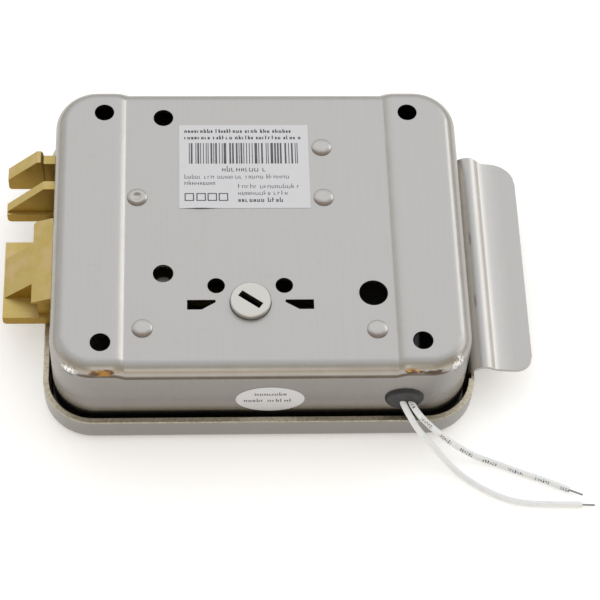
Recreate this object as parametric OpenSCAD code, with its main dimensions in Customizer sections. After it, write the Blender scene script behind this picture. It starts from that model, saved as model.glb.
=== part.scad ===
// Electric rim lock, lying face down on its front cover with its door side up.
// X runs along the bolts, with the bolts on the -X side and the finger pull on the +X side.
// Z = 0 is the outer face of the front cover, and the origin is under the centre of the fixing holes.

/* [Case] */
// Length of the housing along the bolts
housing_w = 124.8; // [122:0.2:127]
// Height of the housing across the bolts
housing_d = 102; // [101:0.2:103]
// Height of the door face above the cover face
back_z = 36; // [35.8:0.1:37]
// Plan radius of the housing corners
housing_corner_r = 13; // [10:0.5:14]
// Bend radius between the door face and the walls
housing_edge_r = 4.5; // [3.5:0.25:5]
// Thickness of the housing sheet
housing_sheet = 1.2; // [1:0.1:1.3]
// Depth of the shallow channel across the door face
channel_depth = 1.25; // [0.8:0.05:1.5]
// Half width of the flat bottom of the channel
channel_half_w = 39.7; // [38:0.1:40]
// Width of the slope on each side of the channel
channel_slope = 4.2; // [2.5:0.1:4.4]

/* [Cover] */
// Length of the front cover
cover_w = 130.8; // [130:0.2:133]
// Height of the front cover
cover_d = 109.2; // [108:0.2:111]
// Height of the cover's rim
rim_z = 10.7; // [9.5:0.1:11]
// Thickness of the cover sheet
cover_sheet = 1; // [0.8:0.1:1.1]
// Thickness of the rim where it is folded inwards
hem_t = 1.8; // [1.4:0.1:2]

/* [Door fixing] */
// Hole spacing along the bolts
fixing_x = 94.6; // [90:0.2:96]
// Hole spacing across the bolts
fixing_y = 82.8; // [80:0.2:84]
// Radius of the fixing holes
fixing_r = 3; // [2.5:0.1:3.2]

/* [Bolts] */
// How far the bolts reach out of the housing wall
bolt_reach = 15.6; // [14:0.1:16]
// Width of the main bolt outside the housing
main_bolt_d = 27.3; // [25:0.1:27.5]
// Thickness of the loading bolt
loading_bolt_d = 4.5; // [4:0.1:4.6]
// Thickness of the trigger bolt's web
trigger_web_d = 3; // [2.4:0.1:3.2]

/* [Cylinder] */
// Distance of the cylinder axis from the pattern centre along X
cylinder_x = -3.1; // [-3.6:0.1:-2.6]
// Radius of the slotted coupling disc
coupling_r = 6.1; // [5.8:0.05:6.2]
// Length of the coupling slot
coupling_slot_l = 7.6; // [7:0.1:8.4]
// Width of the coupling slot
coupling_slot_w = 2.2; // [1.8:0.1:2.6]

/* [Hidden] */

$fn = 64;
EPS = 0.01;
THROUGH = 40;
CORNER_STEPS = 12;
EDGE_STEPS = 8;

// Case, derived
housing_open_z = 1.6;
channel_x = -0.3;
channel_z = back_z - channel_depth;
channel_inner_z = channel_z - housing_sheet;
wall_x = housing_w / 2;
wall_y = housing_d / 2;
cover_corner_r = 15.5;
cover_edge_r = 3.5;
rivet_points = [[-36.9, 10.3], [-35.1, -36.1], [34.2, -36.8]];
solenoid_rivet_points = [[20, 28.8], [20, 10.1]];
rivet_shank_r = 2;
rivet_head_r = 3.15;
rivet_head_h = 0.6;
face_cut_z = 30;
access_points = [[-29, 40.2], [-29, -17.1]];
access_r = 3.05;

// Cylinder and button, derived
cylinder_y = -27.3;
cylinder_r = 8.5;
cylinder_top_z = 22;
plug_r = 6;
plug_top_z = 21;
running_gap = 0.05;
coupling_angle = -36;
coupling_top_z = 36.5;
coupling_low_z = 22.4;
cylinder_hole_dx = 10.15;
cylinder_hole_y = -21.45;
cylinder_hole_r = 2.6;
button_x = 33.6;
button_y = -24.2;
button_hole_r = 4.3;
button_cap_r = 6.5;
button_stem_r = 3;

// Lead exit, derived
lead_r = 1;
grommet_x = 42.6;
grommet_z = 18.9;
grommet_neck_r = 4.6;
lead_plain_exit = [41.8, 17.3];
lead_printed_exit = [44.2, 17.4];
lead_start_y = -49;
PLAIN_START = [lead_plain_exit[0], lead_start_y, lead_plain_exit[1]];
PRINTED_START = [lead_printed_exit[0], lead_start_y, lead_printed_exit[1]];

// Mechanism plate and what stands on it
plate_z = 9.5;
plate_t = 1.5;
plate_top_z = plate_z + plate_t;
pillar_r = 2.5;
guide_x = -44.5;
guide_t = 1.5;
bolt_low_z = 11.6;
bolt_tip_x = -(wall_x + bolt_reach);
main_y0 = -20.5;
main_y1 = main_y0 + main_bolt_d;
main_body_y1 = main_y1 + 2.2;
main_top_z = 25.7;
bolt_root_x = -60;
main_bar_y = [-13.2, 5];
main_bar_top_z = 20;
main_bar_tail_x = -20;
trigger_y = [17, 21];
trigger_web_y = [18, 18 + trigger_web_d];
trigger_bar_top_z = 22;
trigger_top_z = 28;
loading_y = [28.9, 28.9 + loading_bolt_d];
loading_neck_y = [29.3, 32.6];
loading_neck_z = [13, 25.4];
loading_z = [12, 26.7];
latch_tail_x = -36;
latch_stop_x = -14;
stop_t = 1.2;
main_stop_x = -2;
window_gap = 0.5;
window_low_z = 11;

// Solenoid and release, derived
coil_y = 19.5;
coil_z = 21.8;
coil_r = 9;
coil_x = [7.5, 36.5];
yoke_t = 1.5;
yoke_half_w = 12;
plunger_r = 3.9;
pawl_x = -5;
pawl_y = 8.5;
pawl_z = 21;
pawl_t = 2;

// Route of each lead from the grommet to the end of its insulation, along the centre line
PLAIN_ROUTE = [
    PLAIN_START, [41.8, -51, 17.3], [42.8, -52.8, 16.2], [44.6, -54.9, 13.8], [46.4, -57, 11.4],
    [48.8, -59, 8.8], [52, -61, 6], [55.6, -64, 2.8], [58.6, -66.8, 1.4], [62, -69.6, 1], [66.4, -72.8, 1],
    [70.9, -75.3, 1], [75.3, -77, 1], [79.7, -77.8, 1], [85, -78.1, 1], [90.5, -78.3, 1], [96, -78.4, 1]
];
PRINTED_ROUTE = [
    PRINTED_START, [44.3, -51, 17.4], [45.4, -52.8, 16.2], [47.6, -54.8, 13.8], [50.8, -56.6, 11],
    [54.6, -58.4, 7.8], [59.4, -60.2, 4.4], [65, -62.3, 1.8], [71.7, -64.6, 1], [78.5, -67.5, 1],
    [85.3, -70.1, 1], [89, -71.8, 1], [92.7, -73.5, 1]
];
PLAIN_TIP = [100, -78.6, 1];
PRINTED_TIP = [96.7, -75.2, 1];
INNER_PLAIN_ROUTE = [
    PLAIN_START, [42.4, -44, 17], [44.5, -36, 16.5], [45, -26, 16], [45, -12, 16], [43, 0, 17],
    [37, 6, 19.5], [34, 8.6, 21], [33.6, 10.4, 21.8]
];
INNER_PRINTED_ROUTE = [
    PRINTED_START, [45.4, -44, 18.4], [47.2, -36, 18.6], [47.6, -26, 18.6], [47, -12, 18.6], [43, 3, 20],
    [36, 5.5, 22.6], [31.6, 7.6, 23.4], [30.4, 10.6, 23.4]
];

// Colours
STEEL = [0.76, 0.76, 0.74];
DARK_STEEL = [0.5, 0.5, 0.5];
BRASS = [0.78, 0.66, 0.34];
COPPER = [0.72, 0.42, 0.22];
BLACK = [0.08, 0.08, 0.08];
WHITE = [0.93, 0.93, 0.92];

// ---------- general shapes ----------

// Rise from 0 to 1 that starts steep and ends level
function ease(t) = let (c = min(max(t, 0), 1)) c * (2 - c);

// Quarter circle of radius r about a centre, from angle a0
function quarter(centre, r, a0) = [
    for (i = [0:CORNER_STEPS])
        let (a = a0 + 90 * i / CORNER_STEPS)
            centre + r * [cos(a), sin(a)]
];

// Plan outline of a rounded rectangle, inset by d, with extra points xs on its long sides
function outline(w, h, r, d, xs) =
    let (cx = w / 2 - r, cy = h / 2 - r, q = r - d)
    concat(
        quarter([cx, -cy], q, -90),
        quarter([cx, cy], q, 0),
        [for (i = [len(xs) - 1:-1:0]) [xs[i], cy + q]],
        quarter([-cx, cy], q, 90),
        quarter([-cx, -cy], q, 180),
        [for (x = xs) [x, -cy - q]]
    );

// Two triangles for each step between ring a and ring b of n points
function band(a, b, n) = [
    for (i = [0:n - 1]) let (j = (i + 1) % n)
        each [[a * n + i, a * n + j, b * n + j], [a * n + i, b * n + j, b * n + i]]
];

// Strips across a ring whose points face each other in Y: index pairs run from +X to -X
function cap(ring, n, m) = [
    for (i = [0:n / 2 - 2])
        let (f = ring * n, k = (m - i + n) % n, k2 = (m - i - 1 + n) % n)
        let (u = (m + 1 + i) % n, u2 = (m + 2 + i) % n)
            each [[f + k, f + u, f + u2], [f + k, f + u2, f + k2]]
];

// Height of the door face at x: high strips at both ends, a shallow channel between
function door_face_z(x) =
    back_z - channel_depth * (1 - ease((abs(x - channel_x) - channel_half_w) / channel_slope));

// Profile of a low domed rivet head: top_r is the radius of its crown, centre_h the height of its middle
function rivet_dome(top_r, centre_h) = [
    [0, channel_z - EPS], [rivet_head_r, channel_z - EPS], [rivet_head_r - 0.1, channel_z + 0.25],
    [rivet_head_r - 0.7, channel_z + 0.5], [top_r, channel_z + rivet_head_h], [0, channel_z + centre_h]
];

// A drawn sheet-metal tray, open at z = open_z and closed by a face at height face_z(x)
module drawn_tray(w, h, r, edge_r, t, open_z, channel, top_z) {
    steps = [0, 0.18, 0.4, 0.6, 0.82, 1];
    reach = [for (s = steps) channel_half_w + channel_slope * s];
    left = [for (i = [len(reach) - 1:-1:0]) channel_x - reach[i]];
    right = [for (r = reach) channel_x + r];
    xs = channel ? concat(left, right) : [];
    n = len(outline(w, h, r, 0, xs));
    angles = [for (i = [0:EDGE_STEPS]) 90 * i / EDGE_STEPS];
    outer = [for (a = angles) [edge_r * (1 - cos(a)), -edge_r * (1 - sin(a))]];
    inner_r = edge_r - t;
    inner = [for (a = angles) [t + inner_r * (1 - cos(a)), -t - inner_r * (1 - sin(a))]];
    levels = concat([[0, undef]], outer, [[t, undef]], inner);
    points = [
        for (l = levels) for (p = outline(w, h, r, l[0], xs))
            [p[0], p[1], is_undef(l[1]) ? open_z : (channel ? door_face_z(p[0]) : top_z) + l[1]]
    ];
    k = EDGE_STEPS + 2;
    m = CORNER_STEPS;
    faces = concat(
        [for (i = [0:k - 2]) each band(i, i + 1, n)],
        [for (i = [k:2 * k - 2]) each band(i + 1, i, n)],
        band(k, 0, n),
        cap(k - 1, n, m),
        [for (f = cap(2 * k - 1, n, m)) [f[2], f[1], f[0]]]
    );
    polyhedron(points = points, faces = [for (f = faces) [f[2], f[1], f[0]]], convexity = 6);
}

// A plate whose X-Z outline is extruded from y0 to y1
module along_y(y0, y1) {
    translate([0, y1, 0])
        rotate([90, 0, 0])
            linear_extrude(y1 - y0)
                children();
}

// A block given by its low and high corners
module block(low, high) {
    translate(low)
        cube(high - low);
}

// A vertical cylinder from z0 to z1
module post(x, y, z0, z1, r) {
    translate([x, y, z0])
        cylinder(r = r, h = z1 - z0);
}

// Tube swept along a route, with one ring of sides at each route point
module swept_tube(route, r, sides = 8) {
    last = len(route) - 1;
    tangents = [for (i = [0:last]) route[min(i + 1, last)] - route[max(i - 1, 0)]];
    rings = [
        for (i = [0:last])
            let (
                t = tangents[i] / norm(tangents[i]),
                u = cross(t, [0, 0, 1]) / norm(cross(t, [0, 0, 1])),
                v = cross(u, t)
            )
            for (k = [0:sides - 1])
                route[i] + r * (cos(360 * k / sides) * u + sin(360 * k / sides) * v)
    ];
    faces = concat(
        [[for (k = [sides - 1:-1:0]) k]],
        [
            for (i = [0:last - 1]) for (k = [0:sides - 1])
                let (a = i * sides + k, b = i * sides + (k + 1) % sides)
                    each [[b + sides, a + sides, a], [b, b + sides, a]]
        ],
        [[for (k = [0:sides - 1]) last * sides + k]]
    );
    polyhedron(points = rings, faces = faces, convexity = 10);
}

// Helical compression spring along +Z, from 0 to length
module spring(length, r, wire_r, turns) {
    steps = 12;
    count = turns * steps;
    sides = 5;
    rise = (length - 2 * wire_r) / count;
    points = [
        for (i = [0:count]) for (k = [0:sides - 1])
            let (a = 360 * i / steps, q = r - wire_r + wire_r * cos(360 * k / sides))
                [q * cos(a), q * sin(a), wire_r + i * rise + wire_r * sin(360 * k / sides)]
    ];
    faces = concat(
        [[for (k = [sides - 1:-1:0]) k]],
        [
            for (i = [0:count - 1]) for (k = [0:sides - 1])
                let (a = i * sides + k, b = i * sides + (k + 1) % sides)
                    each [[b + sides, a + sides, a], [b, b + sides, a]]
        ],
        [[for (k = [0:sides - 1]) count * sides + k]]
    );
    polyhedron(points = points, faces = faces, convexity = 10);
}

// Spring laid along +X from x0 to x1
module spring_x(x0, x1, y, z, r, wire_r, turns) {
    translate([x0, y, z])
        rotate([0, 90, 0])
            spring(x1 - x0, r, wire_r, turns);
}

// ---------- case ----------

// Slot beside the cylinder hole, with its inner end cut away; side is -1 or 1
module cylinder_slot(side) {
    translate([cylinder_x, 0, channel_inner_z - EPS])
        linear_extrude(THROUGH)
            polygon([
                [side * 10.4, -26.4], [side * 18.8, -26.4], [side * 18.8, -29.7],
                [side * 14.6, -29.7], [side * 10.4, -27.2]
            ]);
}

// Windows in the bolt wall, one for each bolt
module bolt_windows() {
    x = [-wall_x - 1, -wall_x + housing_sheet + 1];
    g = window_gap;
    block([x[0], main_y0 - g, window_low_z], [x[1], main_body_y1 + g, main_top_z + g]);
    block([x[0], trigger_y[0] - g, window_low_z], [x[1], trigger_y[1] + g, trigger_top_z + g]);
    block([x[0], loading_y[0] - g, loading_z[0] - g], [x[1], loading_y[1] + g, loading_z[1] + g]);
}

module housing() {
    color(STEEL)
        difference() {
            drawn_tray(housing_w, housing_d, housing_corner_r, housing_edge_r, housing_sheet,
                housing_open_z, true, 0);
            for (sx = [-1, 1], sy = [-1, 1])
                post(sx * fixing_x / 2, sy * fixing_y / 2, face_cut_z, THROUGH, fixing_r);
            for (p = access_points)
                post(p[0], p[1], face_cut_z, THROUGH, access_r);
            for (p = concat(rivet_points, solenoid_rivet_points))
                post(p[0], p[1], face_cut_z, THROUGH, rivet_shank_r);
            for (x = [cylinder_x - cylinder_hole_dx, cylinder_x + cylinder_hole_dx])
                post(x, cylinder_hole_y, face_cut_z, THROUGH, cylinder_hole_r);
            for (side = [-1, 1])
                cylinder_slot(side);
            post(cylinder_x, cylinder_y, face_cut_z, THROUGH, coupling_r + 2 * running_gap);
            post(button_x, button_y, face_cut_z, THROUGH, button_hole_r);
            bolt_windows();
            translate([grommet_x, -wall_y + 3, grommet_z])
                rotate([90, 0, 0])
                    cylinder(r = grommet_neck_r, h = 6);
        }
}

// Folded edge along the cover's rim, left out where the finger pull comes through
module cover_hem() {
    hem_h = 2;
    difference() {
        translate([0, 0, rim_z - hem_h])
            linear_extrude(hem_h)
                difference() {
                    polygon(outline(cover_w, cover_d, cover_corner_r, cover_sheet / 2, []));
                    polygon(outline(cover_w, cover_d, cover_corner_r, hem_t, []));
                }
        block([60, -40, 0], [cover_w / 2 - cover_sheet, 40.5, THROUGH]);
    }
}

module front_cover() {
    color(STEEL)
        difference() {
            union() {
                translate([0, 0, rim_z])
                    rotate([180, 0, 0])
                        drawn_tray(cover_w, cover_d, cover_corner_r, cover_edge_r, cover_sheet,
                        0, false, rim_z);
                cover_hem();
            }
            post(cylinder_x, cylinder_y, -1, 3, cylinder_r + 0.1);
            post(button_x, button_y, -1, 3, 8);
            for (p = access_points)
                translate([p[0], p[1], -EPS])
                    cylinder(r1 = 3.8, r2 = 2.4, h = cover_sheet + 2 * EPS);
        }
}

// Finger pull: a rolled strip that climbs out of the cover rim and runs outwards
module pull_lip() {
    t = 1;
    centre = [
        [63.9, 2], [63.9, 9.4], [64.3, 11.2], [65.3, 12.7], [66.8, 13.8], [68.6, 14.2], [70.2, 13.7],
        [71.6, 12.7], [73, 12.15], [74.8, 12.05], [78.5, 12.2], [83.3, 12.4]
    ];
    last = len(centre) - 1;
    normals = [
        for (i = [0:last])
            let (d = centre[min(i + 1, last)] - centre[max(i - 1, 0)])
                [-d[1], d[0]] / norm(d)
    ];
    upper = [for (i = [0:last]) centre[i] + normals[i] * t / 2];
    lower = [for (i = [last:-1:0]) centre[i] - normals[i] * t / 2];
    color(STEEL)
        intersection() {
            along_y(-38.6, 39)
                polygon(concat(upper, lower));
            translate([0, 0, -1])
                linear_extrude(THROUGH)
                    union() {
                        polygon([
                            [60, -39], [78, -39], [84, -33], [84, 28.5], [76, 39.5], [60, 39.5]
                        ]);
                        intersection() {
                            translate([78.3, -33.6])
                                circle(r = 5.05);
                            translate([78, -39])
                                square([6, 6]);
                        }
                        translate([73.4, 29])
                            circle(r = 10);
                    }
        }
}

// ---------- inner frame ----------

module mechanism_plate() {
    x0 = -58;
    x1 = 46;
    y0 = -44;
    y1 = 45;
    color(DARK_STEEL)
        difference() {
            block([x0, y0, plate_z], [x1, y1, plate_top_z]);
            for (s = [-1, 1])
                post(-fixing_x / 2, s * fixing_y / 2, 0, THROUGH, 6.5);
            for (s = [-1, 1])
                post(fixing_x / 2, s * fixing_y / 2, 0, THROUGH, 6.5);
            post(cylinder_x, cylinder_y, 0, THROUGH, cylinder_r + 0.1);
            post(button_x, button_y, 0, THROUGH, button_stem_r + running_gap);
            for (p = access_points)
                post(p[0], p[1], 0, THROUGH, pillar_r + 0.05);
            for (p = rivet_points)
                post(p[0], p[1], 0, THROUGH, rivet_shank_r);
        }
}

// Riveted pillar between the mechanism plate and the door face, with a low domed head
module pillar_rivet(p, dimple) {
    translate([p[0], p[1], 0])
        rotate_extrude()
            polygon(dimple ? rivet_dome(1.7, 0.1) : rivet_dome(1.4, rivet_head_h));
    post(p[0], p[1], channel_inner_z - EPS, channel_z, rivet_shank_r);
    post(p[0], p[1], plate_top_z, channel_inner_z, pillar_r);
    post(p[0], p[1], plate_z - EPS, plate_top_z + EPS, rivet_shank_r);
    post(p[0], p[1], plate_z - 0.9, plate_z, rivet_head_r);
}

module pillar_rivets() {
    color(STEEL)
        for (i = [0:len(rivet_points) - 1])
            pillar_rivet(rivet_points[i], i == 0);
}

// Threaded pillars that take the cover screws
module cover_pillars() {
    tops = [22, 29];
    color(DARK_STEEL)
        for (i = [0:1])
            difference() {
                post(access_points[i][0], access_points[i][1], cover_sheet, tops[i], pillar_r);
                post(access_points[i][0], access_points[i][1], 0, 9, 1.6);
            }
}

module cover_screws() {
    color(STEEL)
        for (p = access_points)
            difference() {
                union() {
                    translate([p[0], p[1], 0.1])
                        cylinder(r1 = 3.6, r2 = 2.35, h = cover_sheet - 0.2);
                    post(p[0], p[1], 0.5, 8, 1.55);
                }
                translate([p[0] - 3, p[1] - 0.4, -EPS])
                    cube([6, 0.8, 0.5]);
            }
}

// Upright plate with one window for each bolt's bar
module bolt_guide() {
    g = 0.3;
    x = [guide_x - 1, guide_x + guide_t + 1];
    color(DARK_STEEL)
        difference() {
            union() {
                block([guide_x, -22, plate_top_z], [guide_x + guide_t, 36, 29]);
                block([guide_x, -30, plate_top_z], [guide_x + guide_t, -22, 15]);
            }
            block([x[0], main_bar_y[0] - g, bolt_low_z - g], [x[1], main_bar_y[1] + g, main_bar_top_z + g]);
            block([x[0], trigger_y[0] - g, 11.5 - g], [x[1], trigger_y[1] + g, trigger_bar_top_z + g]);
            block([x[0], loading_neck_y[0] - g, loading_neck_z[0] - g],
                [x[1], loading_neck_y[1] + g, loading_neck_z[1] + g]);
        }
}

// Two uprights that the bolt springs push against
module spring_stop() {
    color(DARK_STEEL) {
        block([latch_stop_x, 15, plate_top_z], [latch_stop_x + stop_t, 35, 24]);
        block([main_stop_x, -9, plate_top_z], [main_stop_x + stop_t, 1, 20]);
    }
}

// ---------- bolts ----------

// Top of the main bolt's body: it slopes up to the housing wall and has one rounded corner
module main_bolt_top(step_x, low_z, step_z) {
    corner_r = 1.2;
    intersection() {
        along_y(main_y0 + 0.5, main_body_y1)
            polygon([
                [step_x, low_z], [bolt_root_x, low_z], [bolt_root_x, main_top_z], [-wall_x, main_top_z],
                [step_x, step_z]
            ]);
        translate([0, 0, low_z - 1])
            linear_extrude(THROUGH)
                union() {
                    translate([step_x, main_y0])
                        square([THROUGH, main_body_y1 - corner_r - main_y0]);
                    translate([step_x + corner_r, main_y0])
                        square([THROUGH, main_body_y1 + 1 - main_y0]);
                    translate([step_x + corner_r, main_body_y1 - corner_r])
                        circle(r = corner_r);
                }
    }
}

module main_bolt() {
    base_z = 15.2;
    ramp_x = bolt_tip_x + 0.25;
    step_x = bolt_tip_x + 9.15;
    step_z = base_z + 8;
    top_low_z = 22.6;
    overlap = 0.1;
    lug_x1 = -2.8;
    lug_y0 = -17;
    color(BRASS)
        difference() {
            union() {
                along_y(main_y0, main_y1)
                    polygon([
                        [bolt_tip_x + 0.9, bolt_low_z], [bolt_root_x, bolt_low_z], [bolt_root_x, base_z],
                        [bolt_tip_x, base_z], [bolt_tip_x, bolt_low_z + 0.9]
                    ]);
                along_y(main_y0 + 7.1, main_y1 - 5.9)
                    polygon([
                        [ramp_x, base_z - overlap], [bolt_root_x, base_z - overlap], [bolt_root_x, step_z],
                        [step_x, step_z]
                    ]);
                block([step_x + 1.8, main_y0 + 1.1, base_z - overlap],
                    [bolt_root_x, main_body_y1 - 0.7, top_low_z + overlap]);
                main_bolt_top(step_x, top_low_z, step_z);
                block([bolt_root_x - overlap, main_bar_y[0], bolt_low_z],
                    [main_bar_tail_x, main_bar_y[1], main_bar_top_z]);
                block([-25.5, lug_y0, 16], [lug_x1, main_bar_y[0] + 0.4, main_bar_top_z]);
                block([lug_x1 - 3.6, lug_y0, main_bar_top_z - 1], [lug_x1, main_bar_y[0] + 0.4, 28.4]);
            }
            translate([-45, -4, 16.3])
                rotate([0, 90, 0])
                    cylinder(r = 3.4, h = 30);
        }
}

module trigger_bolt() {
    color(BRASS)
        union() {
            along_y(trigger_y[0], trigger_y[1])
                polygon([
                    [bolt_tip_x + 1.2, 11.5], [latch_tail_x, 11.5], [latch_tail_x, 15.4], [bolt_tip_x, 15.4],
                    [bolt_tip_x, 12.7], [bolt_tip_x + 0.35, 11.85]
                ]);
            along_y(trigger_web_y[0], trigger_web_y[1])
                polygon([
                    [bolt_tip_x, 15.3], [bolt_root_x, 15.3], [bolt_root_x, trigger_top_z],
                    [bolt_tip_x + 12, trigger_top_z], [bolt_tip_x, 15.6]
                ]);
            block([bolt_root_x - 0.1, trigger_y[0], 15.3], [latch_tail_x, trigger_y[1], trigger_bar_top_z]);
        }
}

module loading_bolt() {
    head_l = 11.4;
    bevel = 9.5;
    end_bevel = 1.2;
    z0 = loading_z[0];
    z1 = loading_z[1];
    color(BRASS)
        union() {
            along_y(loading_y[0], loading_y[1])
                polygon([
                    [bolt_tip_x + 0.7, z0], [bolt_tip_x + head_l, z0],
                    [bolt_tip_x + head_l, z1 - end_bevel], [bolt_tip_x + head_l - end_bevel / 2, z1],
                    [bolt_tip_x + bevel, z1], [bolt_tip_x, z1 - bevel], [bolt_tip_x, z0 + 0.7]
                ]);
            block([bolt_tip_x + head_l - 1, loading_neck_y[0], loading_neck_z[0]],
                [latch_tail_x, loading_neck_y[1], loading_neck_z[1]]);
        }
}

module main_bolt_spring() {
    color(DARK_STEEL)
        spring_x(-44.9, main_stop_x - 0.1, -4, 16.3, 3.1, 0.45, 9);
}

module trigger_bolt_spring() {
    color(DARK_STEEL)
        spring_x(latch_tail_x + 0.1, latch_stop_x - 0.1, 19, 17, 2.4, 0.35, 8);
}

module loading_bolt_spring() {
    color(DARK_STEEL)
        spring_x(latch_tail_x + 0.1, latch_stop_x - 0.1, 30.3, 18.5, 2.4, 0.35, 8);
}

// ---------- key cylinder and cam ----------

// Flat bar shape of the coupling slot and the tail that fits it
module coupling_bar(l, w, z0, z1) {
    translate([cylinder_x, cylinder_y, z0])
        rotate([0, 0, coupling_angle])
            translate([-l / 2, -w / 2, 0])
                cube([l, w, z1 - z0]);
}

module coupling_disc() {
    color(STEEL)
        difference() {
            union() {
                post(cylinder_x, cylinder_y, coupling_low_z, coupling_top_z - 0.3, coupling_r);
                translate([cylinder_x, cylinder_y, coupling_top_z - 0.3])
                    cylinder(r1 = coupling_r, r2 = coupling_r - 0.3, h = 0.3);
            }
            coupling_bar(coupling_slot_l, coupling_slot_w, 29, coupling_top_z + 1);
            coupling_bar(coupling_slot_l, coupling_slot_w, coupling_low_z - 1, 26);
        }
}

// Lever that swings with the disc and pulls the main bolt back by its lug
module cam() {
    z0 = 24;
    t = 3.4;
    reach = 13;
    color(DARK_STEEL)
        translate([cylinder_x, cylinder_y, z0])
            rotate([0, 0, 30])
                difference() {
                    union() {
                        cylinder(r = 8, h = t);
                        translate([-1.9, 0, 0])
                            cube([3.8, reach - 1.9, t]);
                        translate([0, reach - 1.9, 0])
                            cylinder(r = 1.9, h = t);
                    }
                    translate([0, 0, -1])
                        cylinder(r = coupling_r, h = t + 2);
                }
}

module cylinder_body() {
    color(BRASS)
        difference() {
            union() {
                post(cylinder_x, cylinder_y, 0.2, cylinder_top_z, cylinder_r);
                post(cylinder_x, cylinder_y, cover_sheet + 0.1, plate_z - 0.1, 10.5);
            }
            post(cylinder_x, cylinder_y, -1, plug_top_z - 1, plug_r + running_gap);
            post(cylinder_x, cylinder_y, -1, THROUGH, 4.6);
        }
}

module cylinder_nut() {
    color(STEEL)
        difference() {
            translate([cylinder_x, cylinder_y, plate_top_z])
                cylinder(r = 12, h = 3, $fn = 6);
            post(cylinder_x, cylinder_y, 0, THROUGH, cylinder_r);
        }
}

module cylinder_plug() {
    color(BRASS)
        difference() {
            union() {
                post(cylinder_x, cylinder_y, 0.2, plug_top_z - 1.1, plug_r);
                post(cylinder_x, cylinder_y, plug_top_z - 1.2, cylinder_top_z, 4.5);
                coupling_bar(coupling_slot_l - 0.4, coupling_slot_w - 0.4, cylinder_top_z - 1, 25.5);
            }
            translate([cylinder_x - 0.6, cylinder_y - 4, -1])
                cube([1.2, 8, 17]);
        }
}

// ---------- push button ----------

module push_button() {
    color(STEEL)
        union() {
            post(button_x, button_y, 0.3, 3.2, button_cap_r);
            post(button_x, button_y, 3.1, 14, button_stem_r);
            translate([button_x, button_y, 14])
                cylinder(r1 = button_stem_r, r2 = 1.2, h = 5);
        }
}

module button_bezel() {
    color(BLACK)
        difference() {
            union() {
                post(button_x, button_y, 0.2, cover_sheet + EPS, 7.9);
                post(button_x, button_y, cover_sheet, 7.6, 9.4);
            }
            post(button_x, button_y, -1, 9, button_cap_r + running_gap + 0.03);
        }
}

module button_clip() {
    color(DARK_STEEL)
        difference() {
            post(button_x, button_y, plate_top_z + 0.1, plate_top_z + 0.9, 4.6);
            post(button_x, button_y, 0, THROUGH, button_stem_r);
        }
}

module button_spring() {
    color(DARK_STEEL)
        translate([button_x, button_y, 3.3])
            spring(plate_z - 3.4, 4.8, 0.4, 4);
}

// ---------- solenoid and release ----------

module solenoid_frame() {
    x0 = coil_x[0] - yoke_t;
    x1 = coil_x[1] + yoke_t;
    z1 = channel_inner_z;
    color(DARK_STEEL)
        difference() {
            union() {
                block([x0, coil_y - yoke_half_w, z1 - yoke_t], [x1, coil_y + yoke_half_w, z1]);
                for (x = [x0, coil_x[1]])
                    block([x, coil_y - 10, plate_top_z + 0.5], [x + yoke_t, coil_y + 10, z1 - yoke_t + EPS]);
            }
            translate([x0 - 1, coil_y, coil_z])
                rotate([0, 90, 0])
                    cylinder(r = plunger_r + 0.2, h = 5);
            translate([coil_x[1] - 1, coil_y, coil_z])
                rotate([0, 90, 0])
                    cylinder(r = 2.5, h = 5);
            for (p = solenoid_rivet_points)
                post(p[0], p[1], face_cut_z, THROUGH, rivet_shank_r);
        }
}

module solenoid_rivets() {
    low_z = channel_inner_z - yoke_t;
    color(STEEL)
        for (p = solenoid_rivet_points) {
            translate([p[0], p[1], 0])
                rotate_extrude()
                    polygon(rivet_dome(1.4, rivet_head_h));
            post(p[0], p[1], low_z - EPS, channel_z, rivet_shank_r);
            post(p[0], p[1], low_z - 0.6, low_z, 2.9);
        }
}

// Cylinder along X from x0 to x1 on the coil axis
module on_coil_axis(x0, x1, r) {
    translate([x0, coil_y, coil_z])
        rotate([0, 90, 0])
            cylinder(r = r, h = x1 - x0);
}

module solenoid_bobbin() {
    color(BLACK)
        difference() {
            union() {
                on_coil_axis(coil_x[0], coil_x[0] + 1, coil_r + 0.3);
                on_coil_axis(coil_x[1] - 1, coil_x[1], coil_r + 0.3);
                on_coil_axis(coil_x[0], coil_x[1], 4.9);
            }
            on_coil_axis(coil_x[0] - 1, coil_x[1] + 1, plunger_r + 0.1);
        }
}

module solenoid_coil() {
    color(COPPER)
        difference() {
            on_coil_axis(coil_x[0] + 1, coil_x[1] - 1, coil_r);
            on_coil_axis(coil_x[0], coil_x[1], 4.9);
        }
}

module solenoid_core() {
    color(STEEL)
        union() {
            on_coil_axis(31, coil_x[1], plunger_r);
            on_coil_axis(coil_x[1] - 1, coil_x[1] + yoke_t, 2.5);
            on_coil_axis(coil_x[1] + yoke_t, coil_x[1] + yoke_t + 0.8, 3.4);
        }
}

module armature() {
    color(STEEL)
        difference() {
            on_coil_axis(-9, 27, plunger_r);
            block([-10, coil_y - 6, pawl_z - 0.3], [-1.8, coil_y + 6, pawl_z + pawl_t + 0.3]);
            post(pawl_x, coil_y, 0, THROUGH, 1);
        }
}

module armature_pin() {
    color(DARK_STEEL)
        post(pawl_x, coil_y, coil_z - 3.4, coil_z + 3.4, 1);
}

module armature_clip() {
    color(DARK_STEEL)
        difference() {
            on_coil_axis(-1.5, -0.6, 5.4);
            on_coil_axis(-3, 1, plunger_r);
        }
}

module armature_spring() {
    color(DARK_STEEL)
        spring_x(-0.5, coil_x[0] - yoke_t - 0.1, coil_y, coil_z, 5.2, 0.35, 3);
}

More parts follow.
